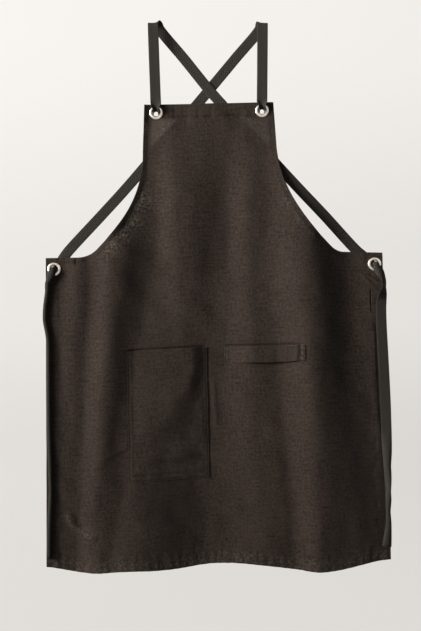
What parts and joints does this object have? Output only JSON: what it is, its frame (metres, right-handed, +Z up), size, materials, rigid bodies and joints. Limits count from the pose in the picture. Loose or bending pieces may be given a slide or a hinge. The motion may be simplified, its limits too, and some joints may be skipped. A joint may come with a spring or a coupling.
{
  "type": "cross-back apron",
  "caption": "Dark linen cross-back work apron with bib, skirt, patch pocket, towel loop and tape straps threaded through metal eyelets, hanging by its straps.",
  "frame": {"origin": "midway between the two places where the shoulder straps bend over the rail they hang from, at the height of the rail's top", "axes": "+Z up, +X to the right of someone who looks at the front, the front faces -Y"},
  "size_m": [0.6621, 0.0486, 1.0486],
  "materials": {
    "linen": "dark charcoal-brown plain-weave linen, matt",
    "tape": "dark olive-brown woven cotton tape, matt",
    "nickel": "satin nickel-plated eyelet brass"
  },
  "bodies": {
    "root": {"apron_panel": "linen", "pocket": "linen", "towel_loop": "linen", "ring_bib_left": "nickel", "ring_bib_right": "nickel", "ring_side_left": "nickel", "ring_side_right": "nickel", "washer_bib_left": "nickel", "washer_bib_right": "nickel", "washer_side_left": "nickel", "washer_side_right": "nickel", "strap_left": "tape", "strap_right": "tape"}
  },
  "joints": []
}
